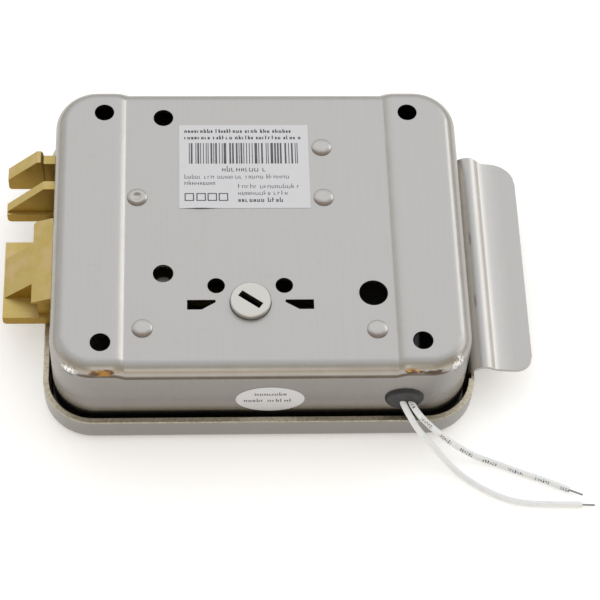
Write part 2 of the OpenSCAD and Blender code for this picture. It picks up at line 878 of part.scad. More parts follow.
// Lever from the armature pin, round its pivot, to the nose beside the main bolt's bar
module release_pawl() {
    nose = [-16.5, 6.9];
    color(DARK_STEEL)
        difference() {
            union() {
                post(pawl_x, pawl_y, pawl_z, pawl_z + pawl_t, 3.6);
                block([pawl_x - 2.5, pawl_y, pawl_z], [pawl_x + 2.5, coil_y + 2.4, pawl_z + pawl_t]);
                block([nose[0] - 1.5, nose[1] - 1.2, pawl_z], [pawl_x, pawl_y + 1.4, pawl_z + pawl_t]);
                block([nose[0] - 1.5, nose[1] - 1.2, 14], [nose[0] + 1.5, nose[1] + 1.2, pawl_z + EPS]);
            }
            post(pawl_x, pawl_y, 0, THROUGH, 1.5 + running_gap);
            block([pawl_x - 1.2, coil_y - 1.8, pawl_z - 1], [pawl_x + 1.2, coil_y + 5, pawl_z + pawl_t + 1]);
        }
}

module pawl_pin() {
    color(STEEL)
        union() {
            post(pawl_x, pawl_y, plate_top_z, pawl_z - 0.2, 2.4);
            post(pawl_x, pawl_y, pawl_z - 0.3, pawl_z + pawl_t + 0.3, 1.5);
            post(pawl_x, pawl_y, pawl_z + pawl_t + 0.2, pawl_z + pawl_t + 1, 2.4);
        }
}

// ---------- leads ----------

module inner_leads() {
    color(WHITE) {
        swept_tube(INNER_PLAIN_ROUTE, lead_r);
        swept_tube(INNER_PRINTED_ROUTE, lead_r);
    }
}

module grommet() {
    bore_len = 8;
    color(BLACK)
        difference() {
            translate([grommet_x, -wall_y, grommet_z])
                rotate([90, 0, 0])
                    rotate_extrude()
                        polygon([
                            [0, -2.4], [5.4, -2.4], [5.4, -housing_sheet], [grommet_neck_r, -housing_sheet],
                            [grommet_neck_r, 0], [5.85, 0], [5.75, 0.5], [5, 1], [0, 1.2]
                        ]);
            for (p = [lead_plain_exit, lead_printed_exit])
                translate([p[0], -wall_y + bore_len / 2, p[1]])
                    rotate([90, 0, 0])
                        cylinder(r = lead_r, h = bore_len);
        }
}

module lead_plain() {
    color(WHITE)
        swept_tube(PLAIN_ROUTE, lead_r);
}

module lead_printed() {
    color(WHITE)
        swept_tube(PRINTED_ROUTE, lead_r);
}

// Tinned strands beyond the insulation
module bare_lead_ends() {
    color(STEEL) {
        swept_tube([PLAIN_ROUTE[len(PLAIN_ROUTE) - 1], PLAIN_TIP], 0.45);
        swept_tube([PRINTED_ROUTE[len(PRINTED_ROUTE) - 1], PRINTED_TIP], 0.45);
    }
}

// ---------- labels ----------

module info_label() {
    color(WHITE)
        block([-24.1, 6.2, channel_z], [15.9, 37.3, channel_z + 0.12]);
}

module inspection_sticker() {
    half_w = 10.25;
    half_h = 7.1;
    color(WHITE)
        translate([2.6, -wall_y, 18.4])
            rotate([90, 0, 0])
                linear_extrude(0.12)
                    polygon([for (a = [0:7.5:352.5]) [half_w * cos(a), half_h * sin(a)]]);
}

housing();
front_cover();
pull_lip();
mechanism_plate();
pillar_rivets();
cover_pillars();
cover_screws();
bolt_guide();
spring_stop();
main_bolt();
loading_bolt();
trigger_bolt();
main_bolt_spring();
loading_bolt_spring();
trigger_bolt_spring();
coupling_disc();
cam();
cylinder_body();
cylinder_nut();
cylinder_plug();
push_button();
button_bezel();
button_clip();
button_spring();
solenoid_frame();
solenoid_rivets();
solenoid_bobbin();
solenoid_coil();
solenoid_core();
armature();
armature_pin();
armature_clip();
armature_spring();
release_pawl();
pawl_pin();
inner_leads();
grommet();
lead_plain();
lead_printed();
bare_lead_ends();
info_label();
inspection_sticker();
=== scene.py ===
"""Looks of an electric rim lock that lies face down on its front cover, with its door side up."""

import math
import random

import bmesh
import bpy
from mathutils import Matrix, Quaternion, Vector


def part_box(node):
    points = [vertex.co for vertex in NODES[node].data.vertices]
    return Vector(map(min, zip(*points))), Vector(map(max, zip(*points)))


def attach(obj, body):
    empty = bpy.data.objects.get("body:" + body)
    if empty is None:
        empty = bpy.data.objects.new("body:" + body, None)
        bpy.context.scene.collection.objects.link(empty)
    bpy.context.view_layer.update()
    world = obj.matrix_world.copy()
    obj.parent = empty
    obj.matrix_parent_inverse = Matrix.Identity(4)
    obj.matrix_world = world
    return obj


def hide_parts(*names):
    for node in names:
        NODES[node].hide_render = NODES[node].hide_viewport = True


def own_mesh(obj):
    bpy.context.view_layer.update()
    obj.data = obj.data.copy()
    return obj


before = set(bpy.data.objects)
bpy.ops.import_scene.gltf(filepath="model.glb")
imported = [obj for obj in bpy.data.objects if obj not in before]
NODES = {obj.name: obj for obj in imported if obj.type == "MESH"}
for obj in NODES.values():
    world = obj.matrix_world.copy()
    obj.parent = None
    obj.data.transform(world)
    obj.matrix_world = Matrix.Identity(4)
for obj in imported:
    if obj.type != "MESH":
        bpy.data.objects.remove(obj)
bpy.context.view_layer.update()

MM = 0.001
UP = Vector((0, 0, 1))
SHARP_ANGLE = math.radians(34)
DOMED = ("pillar_rivets", "solenoid_rivets")


# ---------- camera, floor and light ----------


def make_camera():
    """A long lens above the lead side, turned a little towards the bolts and rolled a little."""
    aim = Vector((12.6, -16.4, 18)) * MM
    azimuth, elevation, roll = (math.radians(a) for a in (5.72, 58.5, 4.58))
    distance = 0.6553
    view = Vector((
        math.sin(azimuth) * math.cos(elevation),
        math.cos(azimuth) * math.cos(elevation),
        -math.sin(elevation),
    ))
    camera = bpy.data.objects.new("camera", bpy.data.cameras.new("camera"))
    bpy.context.collection.objects.link(camera)
    camera.data.sensor_width = 36
    camera.data.lens = 128.5
    camera.data.clip_start = 0.01
    camera.location = aim - distance * view
    camera.rotation_mode = "QUATERNION"
    camera.rotation_quaternion = view.to_track_quat("-Z", "Y") @ Quaternion(UP, roll)
    bpy.context.scene.camera = camera


def softbox(name, place, aim, size, power, tint=(1, 1, 1)):
    """A square area light that faces its aim."""
    light = bpy.data.lights.new(name, "AREA")
    light.size = size
    light.energy = power
    light.color = tint
    lamp = bpy.data.objects.new(name, light)
    bpy.context.collection.objects.link(lamp)
    lamp.location = place
    lamp.rotation_mode = "QUATERNION"
    lamp.rotation_quaternion = (Vector(aim) - Vector(place)).to_track_quat("-Z", "Y")


def sky_ramp(tree, height, stops):
    """Colours of the sky by its height, as an output socket."""
    ramp = tree.nodes.new("ShaderNodeValToRGB")
    fill_ramp(ramp, stops)
    tree.links.new(height, ramp.inputs[0])
    return ramp.outputs[0]


def make_world():
    """A pale room, warmer and dimmer behind the camera."""
    bpy.context.scene.view_settings.view_transform = "Standard"
    world = bpy.data.worlds.new("studio")
    world.use_nodes = True
    bpy.context.scene.world = world
    tree = world.node_tree
    direction = tree.nodes.new("ShaderNodeTexCoord")
    split = tree.nodes.new("ShaderNodeSeparateXYZ")
    tree.links.new(direction.outputs["Generated"], split.inputs[0])
    room = sky_ramp(tree, split.outputs["Z"], [
        (0.0, (0.82, 0.81, 0.80)), (0.10, (0.80, 0.79, 0.78)), (0.26, (0.98, 0.98, 0.97)),
        (0.50, (1.05, 1.05, 1.05)), (1.0, (0.98, 0.98, 0.99)),
    ])
    front = sky_ramp(tree, split.outputs["Z"], [
        (0.0, (1.05, 0.96, 0.86)), (0.10, (1.35, 1.25, 1.12)), (0.30, (0.80, 0.70, 0.56)),
        (0.60, (0.66, 0.60, 0.50)), (0.85, (0.80, 0.78, 0.74)), (1.0, (0.98, 0.98, 0.99)),
    ])
    share = tree.nodes.new("ShaderNodeMapRange")
    share.inputs["From Min"].default_value = 0.05
    share.inputs["From Max"].default_value = -0.40
    blend = tree.nodes.new("ShaderNodeMix")
    blend.data_type = "RGBA"
    tree.links.new(split.outputs["Y"], share.inputs[0])
    tree.links.new(share.outputs[0], blend.inputs[0])
    tree.links.new(room, blend.inputs[6])
    tree.links.new(front, blend.inputs[7])
    tree.links.new(blend.outputs[2], tree.nodes["Background"].inputs["Color"])


def make_lights():
    """Soft lights over and beside the lock."""
    middle = (0, 0, 0.02)
    softbox("back_light", (-0.05, 0.62, 0.95), middle, 0.8, 0.8)
    softbox("right_back_light", (0.70, 0.60, 0.75), middle, 0.45, 1.2)
    softbox("right_light", (0.85, 0.10, 0.55), middle, 0.5, 0.6)
    softbox("front_light", (-0.05, -0.80, 0.55), middle, 0.35, 0.3, (1, 0.98, 0.94))


def make_floor():
    half = 1.6
    drop = 0.05 * MM
    corners = [(-half, -half, -drop), (half, -half, -drop), (half, half, -drop), (-half, half, -drop)]
    floor = mesh_object("studio_floor", corners, [(0, 1, 2, 3)], floor_paper())


# ---------- materials ----------


def fill_ramp(ramp, stops):
    """Gives a Color Ramp node these (place, colour or grey) stops."""
    elements = ramp.color_ramp.elements
    while len(elements) < len(stops):
        elements.new(1)
    for element, (place, colour) in zip(elements, stops):
        element.position = place
        element.color = (*(colour if isinstance(colour, tuple) else (colour,) * 3), 1)


class Shader:
    """A new material. Its methods add nodes to it and return their output sockets."""

    def __init__(self, name, **constants):
        self.material = bpy.data.materials.new(name)
        self.material.use_nodes = True
        self.tree = self.material.node_tree
        self.surface = self.tree.nodes["Principled BSDF"]
        for socket, value in constants.items():
            self.surface.inputs[socket.replace("_", " ").title()].default_value = value
        self.coordinates = self.tree.nodes.new("ShaderNodeTexCoord")

    def node(self, kind, inputs, output=0, **settings):
        made = self.tree.nodes.new(kind)
        for name, value in settings.items():
            setattr(made, name, value)
        for socket, value in inputs.items():
            if isinstance(value, bpy.types.NodeSocket):
                self.tree.links.new(value, made.inputs[socket])
            else:
                made.inputs[socket].default_value = value
        return made.outputs[output]

    def place(self, stretch=(1, 1, 1)):
        """Place on the piece in mm, each axis divided by its stretch."""
        scale = [1 / (MM * s) for s in stretch]
        return self.node(
            "ShaderNodeVectorMath", {0: self.coordinates.outputs["Object"], 1: scale}, operation="MULTIPLY"
        )

    def facing(self, axis):
        """How squarely the surface faces along an axis of the frame, 0 to 1, either way."""
        part = self.node("ShaderNodeSeparateXYZ", {0: self.coordinates.outputs["Normal"]}, axis)
        return self.maths("ABSOLUTE", part)

    def noise(self, size, stretch=(1, 1, 1), detail=3.0, roughness=0.5):
        """Soft noise whose spots are about size mm wide, times the stretch."""
        return self.node("ShaderNodeTexNoise", {
            "Vector": self.place(stretch), "Scale": 1 / size, "Detail": detail, "Roughness": roughness,
        })

    def near(self, centre, reach):
        """1 at a place in mm, falling to 0 at its reach in mm along each axis."""
        offset = [-c / r for c, r in zip(centre, reach)]
        local = self.node("ShaderNodeVectorMath", {0: self.place(reach), 1: offset}, operation="ADD")
        distance = self.node("ShaderNodeVectorMath", {0: local}, "Value", operation="LENGTH")
        return self.ramp(distance, (0.0, 1.0), (0.5, 0.75), (1.0, 0.0))

    def height(self, low, high):
        """0 below a height in mm, rising to 1 at another one; low may be above high."""
        z = self.node("ShaderNodeSeparateXYZ", {0: self.place()}, "Z")
        return self.node("ShaderNodeMapRange", {0: z, 1: low, 2: high})

    def maths(self, operation, a, b=0.0):
        return self.node("ShaderNodeMath", {0: a, 1: b}, operation=operation)

    def ramp(self, value, *stops):
        made = self.tree.nodes.new("ShaderNodeValToRGB")
        fill_ramp(made, stops)
        self.tree.links.new(value, made.inputs[0])
        return made.outputs[0]

    def mix(self, share, a, b):
        """Colour a, or b where the share is 1."""
        first, second = ((*c, 1) if isinstance(c, tuple) else c for c in (a, b))
        return self.node("ShaderNodeMix", {0: share, 6: first, 7: second}, 2, data_type="RGBA")

    def span(self, value, low, high):
        """Value from 0..1 moved to low..high."""
        return self.node("ShaderNodeMapRange", {0: value, 3: low, 4: high})

    def bump(self, height, depth, under=None):
        """Bump of that depth in mm, over another one."""
        inputs = {"Height": height, "Distance": depth * MM, "Strength": 1.0}
        if under is not None:
            inputs["Normal"] = under
        return self.node("ShaderNodeBump", inputs)

    def finish(self, colour=None, roughness=None, normal=None):
        for socket, value in (("Base Color", colour), ("Roughness", roughness), ("Normal", normal)):
            if value is not None:
                self.tree.links.new(value, self.surface.inputs[socket])
        return self.material


def floor_paper():
    s = Shader("floor_paper", roughness=0.75, emission_color=(1, 1, 1, 1), emission_strength=0.235)
    fibre = s.noise(3, detail=4)
    colour = s.mix(fibre, (0.93, 0.93, 0.93), (0.95, 0.95, 0.95))
    return s.finish(colour, normal=s.bump(s.noise(0.6), 0.02))


class Sheet(Shader):
    """Stainless sheet with brushed flat faces; bends and walls keep the smoother drawn finish, and their
    colour is painted darker as shade, darkest on upright walls. Brush is the stretch of the brushing lines,
    and the last argument scales the colour of the bends and walls, their painted shade."""

    def __init__(self, name, brush, wall_shade_tone=1.0):
        super().__init__(name, metallic=1.0)
        flat = self.ramp(self.facing("Z"), (0.90, 0.0), (0.985, 1.0))
        fine = self.noise(0.10, brush, detail=2)
        lines = self.noise(0.45, brush, detail=3)
        clouds = self.noise(22, detail=3)
        specks = self.ramp(self.noise(1.3, detail=2), (0.68, 0.0), (0.76, 1.0))
        scratches = self.ramp(self.noise(0.30, (26, 5, 26), detail=2), (0.70, 0.0), (0.74, 1.0))
        face = self.mix(lines, (0.372, 0.368, 0.360), (0.430, 0.426, 0.418))
        face = self.mix(self.span(clouds, 0.0, 0.35), face, (0.395, 0.385, 0.368))
        # Bends and walls: painted shade, darker than the flat faces, and darkest where the wall stands
        # upright.
        dark, light, deep_shade = (tuple(part * wall_shade_tone for part in tone) for tone in (
            (0.33, 0.315, 0.29), (0.39, 0.375, 0.35), (0.25, 0.238, 0.222)
        ))
        wall = self.mix(self.noise(5, (1, 1, 4)), dark, light)
        upright_shade = self.ramp(self.facing("Z"), (0.10, 1.0), (0.30, 0.0))
        wall = self.mix(self.maths("MULTIPLY", upright_shade, 0.7), wall, deep_shade)
        colour = self.mix(flat, wall, face)
        colour = self.mix(self.maths("MULTIPLY", specks, 0.22), colour, (0.34, 0.32, 0.29))
        self.colour = self.mix(self.maths("MULTIPLY", scratches, 0.12), colour, (0.30, 0.29, 0.27))
        self.roughness = self.mix(flat, self.span(clouds, 0.20, 0.34), self.span(lines, 0.34, 0.46))
        grain = self.bump(self.maths("MULTIPLY", fine, flat), 0.004)
        self.grain = self.bump(self.maths("MULTIPLY", lines, self.span(flat, 0.25, 1.0)), 0.010, grain)

    def painted_reflection_line(self, strength):
        """A brown line where the front bend meets its wall: a painted reflection of a dark brown horizon,
        patchy along its length.
        """
        line = self.ramp(self.facing("Z"), (0.02, 0.0), (0.08, 1.0), (0.26, 1.0), (0.42, 0.0))
        front = self.ramp(self.facing("Y"), (0.88, 0.0), (0.94, 1.0))
        patchy = self.span(self.noise(4), strength * 0.7, strength)
        line = self.maths("MULTIPLY", self.maths("MULTIPLY", line, front), patchy)
        self.colour = self.mix(line, self.colour, (0.075, 0.050, 0.030))

    def glint(self, place, reach):
        """Wrinkled, smoother metal with a painted glint: near-white colour in spots."""
        hollow = self.near(place, reach)
        bright = self.ramp(self.noise(0.9, detail=2), (0.42, 0.0), (0.50, 1.0))
        self.colour = self.mix(self.maths("MULTIPLY", hollow, bright), self.colour, (0.95, 0.95, 0.96))
        self.roughness = self.mix(hollow, self.roughness, (0.08, 0.08, 0.08))
        self.grain = self.bump(self.maths("MULTIPLY", hollow, self.noise(1.3, detail=2)), 0.9, self.grain)

    def stain(self, place, reach, colour):
        """A patch of painted reflection in the given colour, with a ragged edge and darker brown streaks."""
        holes = self.ramp(self.noise(0.9, (2, 1, 1)), (0.40, 0.0), (0.66, 0.6))
        patch = self.ramp(self.maths("SUBTRACT", self.near(place, reach), holes), (0.05, 0.0), (0.30, 0.95))
        dark = self.ramp(self.noise(1.4, (2, 1, 1)), (0.44, 0.0), (0.60, 1.0))
        self.colour = self.mix(patch, self.colour, self.mix(dark, colour, (0.09, 0.06, 0.04)))

    def hollow(self, place, reach):
        """A small dip with painted shade: its colour is darkened in the dip, over a bump."""
        dip = self.near(place, reach)
        self.colour = self.mix(self.maths("MULTIPLY", dip, 0.9), self.colour, (0.10, 0.09, 0.07))
        self.grain = self.bump(self.maths("MULTIPLY", dip, -1.0), 0.25, self.grain)

    def flare(self, top, foot, depth):
        """A wall that leans outwards towards its foot."""
        lean = self.height(top, foot)
        self.grain = self.bump(self.maths("MULTIPLY", lean, lean), depth, self.grain)

    def done(self):
        ripple = self.bump(self.noise(9, (1, 1, 2), detail=1), 0.05, self.grain)
        return self.finish(self.colour, self.roughness, ripple)


def case_steel():
    """The housing's sheet, with dents, painted glints and painted orange-brown and dark brown reflections
    where it was drawn round its two front corners, and a painted brown reflection line along its front bend.
    """
    low, high = (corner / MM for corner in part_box("housing"))
    s = Sheet("case_steel", (1, 60, 60))
    s.painted_reflection_line(0.95)
    s.flare(low.z + 17, low.z + 7.5, 1.5)
    s.stain((low.x + 15.8, low.y + 0.8, high.z - 2.6), (5.4, 1.6, 1.3), (0.34, 0.17, 0.04))
    s.stain((high.x - 18.4, low.y + 0.8, high.z - 2.5), (2.8, 1.6, 1.2), (0.42, 0.24, 0.08))
    s.stain((high.x - 13, low.y + 0.8, high.z - 2.9), (4.6, 1.6, 1.0), (0.07, 0.05, 0.04))
    s.glint((low.x + 6.6, low.y + 2.8, high.z - 3.4), (4.2, 2.3, 2.0))
    s.glint((high.x - 5.4, low.y + 5.0, high.z - 3.4), (3.0, 4.4, 2.6))
    return s.done()


def cover_steel():
    """The cover's sheet, with a painted highlight along its folded edge: pale and warm, patchy with browner
    spots.
    """
    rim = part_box("front_cover")[1].z / MM
    s = Sheet("cover_steel", (60, 1, 60))
    # Painted highlight along the top of the folded edge.
    edge = s.height(rim - 0.7, rim - 0.1)
    patches = s.noise(0.9, detail=4, roughness=0.6)
    tone = s.mix(s.ramp(patches, (0.30, 0.0), (0.70, 1.0)), (0.33, 0.27, 0.17), (0.62, 0.57, 0.44))
    s.colour = s.mix(s.maths("MULTIPLY", edge, 0.8), s.colour, tone)
    return s.done()


def pull_steel():
    """The finger pull's sheet, with the two spots where it is welded to the rim painted dark as shade in
    their dips, and its bends and walls painted lighter than the housing's.
    """
    low, high = (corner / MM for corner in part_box("pull_lip"))
    s = Sheet("pull_steel", (1, 60, 1), 1.35)
    for y in (8.0, -14.9):
        s.hollow((low.x + 3.6, y, high.z - 1.2), (0.8, 4.2, 1.2))
    return s.done()


def zinc_steel():
    """Dull plated steel with a cloudy, slightly yellow passivated skin."""
    s = Shader("zinc_steel", metallic=1.0)
    clouds = s.noise(4, detail=5, roughness=0.65)
    crystals = s.node("ShaderNodeTexVoronoi", {"Vector": s.place(), "Scale": 1.4}, "Distance")
    colour = s.mix(clouds, (0.36, 0.36, 0.35), (0.52, 0.51, 0.47))
    roughness = s.span(clouds, 0.38, 0.60)
    return s.finish(colour, roughness, s.bump(crystals, 0.01))


def satin_steel():
    """Rivets and screws: turned and tumbled, with rubbed tops, and painted shade, darker and browner, on the
    sides that face -Y.
    """
    s = Shader("satin_steel", metallic=1.0)
    rub = s.noise(0.9, detail=4)
    colour = s.mix(rub, (0.36, 0.353, 0.34), (0.45, 0.443, 0.43))
    # Sides that lean towards -Y: painted shade, darker and browner.
    lean = s.node("ShaderNodeSeparateXYZ", {0: s.coordinates.outputs["Normal"]}, "Y")
    painted_shade_side = s.ramp(s.maths("MULTIPLY", lean, -1.0), (0.03, 0.0), (0.22, 0.85))
    colour = s.mix(painted_shade_side, colour, (0.19, 0.150, 0.125))
    return s.finish(colour, s.span(rub, 0.24, 0.42), s.bump(s.noise(0.25), 0.006))


def spring_steel():
    s = Shader("spring_steel", metallic=1.0)
    drawn = s.noise(0.2, detail=2)
    return s.finish(s.mix(drawn, (0.26, 0.26, 0.27), (0.42, 0.42, 0.42)), s.span(drawn, 0.25, 0.40))


def satin_nickel():
    """Coupling disc and button: fine turned rings under warm nickel plate, and painted shade, near black,
    down in the slot.
    """
    s = Shader("satin_nickel", metallic=1.0)
    low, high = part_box("coupling_disc")
    to_centre = [-(low.x + high.x) / 2, -(low.y + high.y) / 2, 0]
    ring_pitch, slot_reach, slot_top, slot_floor = 0.22, 4.2, 34.6, 33.2
    about = s.node(
        "ShaderNodeVectorMath", {0: s.coordinates.outputs["Object"], 1: to_centre}, operation="ADD"
    )
    flat = s.node("ShaderNodeVectorMath", {0: about, 1: (1, 1, 0)}, operation="MULTIPLY")
    radius = s.node("ShaderNodeVectorMath", {0: flat}, "Value", operation="LENGTH")
    rings = s.maths("SINE", s.maths("MULTIPLY", radius, 2 * math.pi / (ring_pitch * MM)))
    wear = s.noise(2.5, detail=4)
    colour = s.mix(wear, (0.45, 0.44, 0.415), (0.52, 0.51, 0.485))
    slot = s.maths("LESS_THAN", radius, slot_reach * MM)
    # Inside the slot, below its top: painted shade, near black, deeper down.
    painted_slot_shade = s.maths("MULTIPLY", slot, s.height(slot_top, slot_floor))
    colour = s.mix(painted_slot_shade, colour, (0.02, 0.016, 0.018))
    return s.finish(colour, s.span(wear, 0.26, 0.42), s.bump(rings, 0.0012))


def cast_brass():
    """Bolts: sand-tumbled brass, paler where it is rubbed, with painted shade, darker and browner, on the
    faces that face along Y.
    """
    s = Shader("cast_brass", metallic=1.0)
    grain = s.noise(0.35, detail=3)
    patches = s.noise(4, detail=4, roughness=0.6)
    colour = s.mix(patches, (0.43, 0.31, 0.085), (0.55, 0.45, 0.19))
    blush = s.ramp(s.noise(7, detail=2), (0.50, 0.0), (0.62, 0.6))
    colour = s.mix(blush, colour, (0.56, 0.41, 0.22))
    # Faces that face along Y: painted shade, darker and browner.
    side = s.ramp(s.facing("Y"), (0.55, 0.0), (0.90, 0.9))
    shade = s.mix(patches, (0.26, 0.13, 0.012), (0.42, 0.29, 0.045))
    colour = s.mix(side, colour, shade)
    return s.finish(colour, s.span(patches, 0.38, 0.56), s.bump(grain, 0.014))


def turned_brass():
    s = Shader("turned_brass", metallic=1.0)
    rings = s.noise(0.25, (30, 30, 1), detail=2)
    tarnish = s.noise(3, detail=4)
    colour = s.mix(tarnish, (0.55, 0.42, 0.18), (0.72, 0.58, 0.30))
    return s.finish(colour, s.span(tarnish, 0.22, 0.42), s.bump(rings, 0.008))


def enamelled_copper():
    s = Shader("enamelled_copper", metallic=0.9, coat_weight=0.6, coat_roughness=0.15)
    tone = s.noise(1.5, (0.3, 1, 1), detail=3)
    return s.finish(s.mix(tone, (0.42, 0.17, 0.06), (0.62, 0.30, 0.13)), s.span(tone, 0.22, 0.38))


def moulded_black(name, gloss):
    """Black plastic or rubber with a fine mould texture and a little dust."""
    s = Shader(name)
    dust = s.ramp(s.noise(1.6, detail=6, roughness=0.7), (0.52, 0.0), (0.78, 1.0))
    colour = s.mix(s.maths("MULTIPLY", dust, 0.25), (0.012, 0.013, 0.015), (0.10, 0.10, 0.10))
    return s.finish(colour, s.span(dust, gloss, gloss + 0.2), s.bump(s.noise(0.12), 0.008))


def sleeve_base(name):
    """Off-white soft PVC with faint handling marks."""
    s = Shader(name, subsurface_weight=0.15, subsurface_scale=0.0006)
    dirt = s.ramp(s.noise(2.2, detail=5, roughness=0.65), (0.55, 0.0), (0.80, 1.0))
    colour = s.mix(s.maths("MULTIPLY", dirt, 0.4), (0.75, 0.775, 0.79), (0.53, 0.53, 0.51))
    return s, colour


def lead_sleeve():
    s, colour = sleeve_base("lead_sleeve")
    return s.finish(colour, s.span(s.noise(0.8), 0.34, 0.48), s.bump(s.noise(0.5), 0.01))


def printed_sleeve():
    """The same sleeve with a row of plain rubbed ticks, in groups, along one side."""
    s, colour = sleeve_base("printed_sleeve")
    pitch, group, side, half_height = 0.80, 8.2, 0.20, 0.10
    tick_share, word_share = 0.62, 0.58
    uv = s.coordinates.outputs["UV"]
    round_share = s.node("ShaderNodeSeparateXYZ", {0: uv}, "X")
    along = s.node("ShaderNodeSeparateXYZ", {0: uv}, "Y")
    cell = s.maths("FLOOR", s.maths("DIVIDE", along, pitch))
    draw = s.node("ShaderNodeTexWhiteNoise", {"W": cell}, "Value", noise_dimensions="1D")
    tick = s.maths("LESS_THAN", s.maths("FRACT", s.maths("DIVIDE", along, pitch)), tick_share)
    word = s.maths("LESS_THAN", s.maths("FRACT", s.maths("DIVIDE", along, group)), word_share)
    off_line = s.maths("ABSOLUTE", s.maths("SUBTRACT", round_share, side))
    tall = s.maths("LESS_THAN", off_line, s.span(draw, half_height * 0.6, half_height))
    rubbed = s.ramp(s.noise(0.35, detail=2), (0.40, 0.0), (0.50, 1.0))
    ink = s.maths("MULTIPLY", s.maths("MULTIPLY", tick, word), s.maths("MULTIPLY", tall, rubbed))
    colour = s.mix(s.maths("MULTIPLY", ink, 0.92), colour, (0.05, 0.05, 0.06))
    return s.finish(colour, s.span(s.noise(0.8), 0.34, 0.48), s.bump(s.noise(0.5), 0.01))


def tinned_strands():
    s = Shader("tinned_strands", metallic=1.0)
    solder = s.noise(0.3, detail=3)
    return s.finish(s.mix(solder, (0.22, 0.22, 0.23), (0.42, 0.42, 0.43)), s.span(solder, 0.2, 0.4))


def label_paper():
    """White coated paper with faint fibres and a few grey rub marks."""
    s = Shader("label_paper")
    fibre = s.noise(0.4, detail=4)
    rub = s.ramp(s.noise(6, detail=5, roughness=0.7), (0.58, 0.0), (0.75, 1.0))
    colour = s.mix(fibre, (0.56, 0.57, 0.60), (0.60, 0.61, 0.635))
    colour = s.mix(s.maths("MULTIPLY", rub, 0.2), colour, (0.44, 0.44, 0.46))
    return s.finish(colour, s.span(fibre, 0.42, 0.56), s.bump(fibre, 0.01))


def printing_ink():
    s = Shader("printing_ink")
    thin = s.noise(0.5, detail=4)
    return s.finish(s.mix(thin, (0.045, 0.045, 0.055), (0.13, 0.13, 0.15)), s.span(thin, 0.4, 0.6))


MATERIALS = {
    "case_steel": case_steel(),
    "cover_steel": cover_steel(),
    "pull_steel": pull_steel(),
    "zinc_steel": zinc_steel(),
    "satin_steel": satin_steel(),
    "spring_steel": spring_steel(),
    "satin_nickel": satin_nickel(),
    "cast_brass": cast_brass(),
    "turned_brass": turned_brass(),
    "enamelled_copper": enamelled_copper(),
    "black_plastic": moulded_black("black_plastic", 0.35),
    "grommet_rubber": moulded_black("grommet_rubber", 0.5),
    "lead_sleeve": lead_sleeve(),
    "printed_sleeve": printed_sleeve(),
    "tinned_strands": tinned_strands(),
    "label_paper": label_paper(),
    "printing_ink": printing_ink(),
}


# ---------- mesh helpers ----------


def mesh_object(name, vertices, faces, material):
    mesh = bpy.data.meshes.new(name)
    mesh.from_pydata([tuple(v) for v in vertices], [], faces)
    mesh.materials.append(material)
    mesh.shade_smooth()
    made = bpy.data.objects.new(name, mesh)
    bpy.context.collection.objects.link(made)
    return made


def piece(name, vertices, faces, material, body, slot, *replaced):
    """A new piece in mm that rides on a body and stands for CAD nodes."""
    made = mesh_object(name, [Vector(v) * MM for v in vertices], faces, material)
    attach(made, body)
    if replaced:
        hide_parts(*replaced)
    return made


def smooth_by_angle():
    """Node group that smooths the shading over every edge flatter than its angle."""
    group = bpy.data.node_groups.new("smooth_by_angle", "GeometryNodeTree")
    group.interface.new_socket("Geometry", in_out="INPUT", socket_type="NodeSocketGeometry")
    group.interface.new_socket("Geometry", in_out="OUTPUT", socket_type="NodeSocketGeometry")
    start, end = group.nodes.new("NodeGroupInput"), group.nodes.new("NodeGroupOutput")
    angle = group.nodes.new("GeometryNodeInputMeshEdgeAngle")
    sharp = group.nodes.new("FunctionNodeCompare")
    sharp.operation = "GREATER_THAN"
    sharp.inputs[1].default_value = SHARP_ANGLE
    faces, edges = (group.nodes.new("GeometryNodeSetShadeSmooth") for _ in range(2))
    edges.domain = "EDGE"
    edges.inputs["Shade Smooth"].default_value = False
    group.links.new(start.outputs[0], faces.inputs[0])
    group.links.new(faces.outputs[0], edges.inputs[0])
    group.links.new(angle.outputs["Unsigned Angle"], sharp.inputs[0])
    group.links.new(sharp.outputs[0], edges.inputs["Selection"])
    group.links.new(edges.outputs[0], end.inputs[0])
    return group


SMOOTH = smooth_by_angle()


def ease_edges(made, width, segments=2, even=True):
    """Small rounded edges, and shading that is smooth over bends and flat on faces."""
    weld = made.modifiers.new("weld", "WELD")
    weld.merge_threshold = 0.0005 * MM
    if width:
        plain = made.modifiers.new("plain_faces", "DECIMATE")
        plain.decimate_type = "DISSOLVE"
        plain.angle_limit = math.radians(0.4)
        bevel = made.modifiers.new("edges", "BEVEL")
        bevel.width = width * MM
        bevel.segments = segments
        bevel.limit_method = "ANGLE"
        bevel.angle_limit = SHARP_ANGLE
    made.modifiers.new("smooth", "NODES").node_group = SMOOTH
    if even:
        weighted = made.modifiers.new("weighted", "WEIGHTED_NORMAL")
        weighted.keep_sharp = True


def keep(node, material, edge=0.0):
    """A CAD node that stays, with a better finish and eased edges."""
    made = NODES[node]
    made.data.materials.clear()
    made.data.materials.append(material)
    if made.data.attributes.get("custom_normal"):
        made.data.attributes.remove(made.data.attributes["custom_normal"])
    ease_edges(made, edge, even=node not in DOMED)


def smooth_path(points, step):
    """Catmull-Rom curve through points in mm, sampled about every step mm."""
    route = [Vector(p) for p in points]
    route = [2 * route[0] - route[1], *route, 2 * route[-1] - route[-2]]
    path = []
    for a, b, c, d in zip(route, route[1:], route[2:], route[3:]):
        count = max(1, round((c - b).length / step))
        for i in range(count):
            t = i / count
            path.append(0.5 * (
                2 * b + (c - a) * t + (2 * a - 5 * b + 4 * c - d) * t * t + (3 * b - a - 3 * c + d) * t ** 3
            ))
    return [*path, route[-2]]


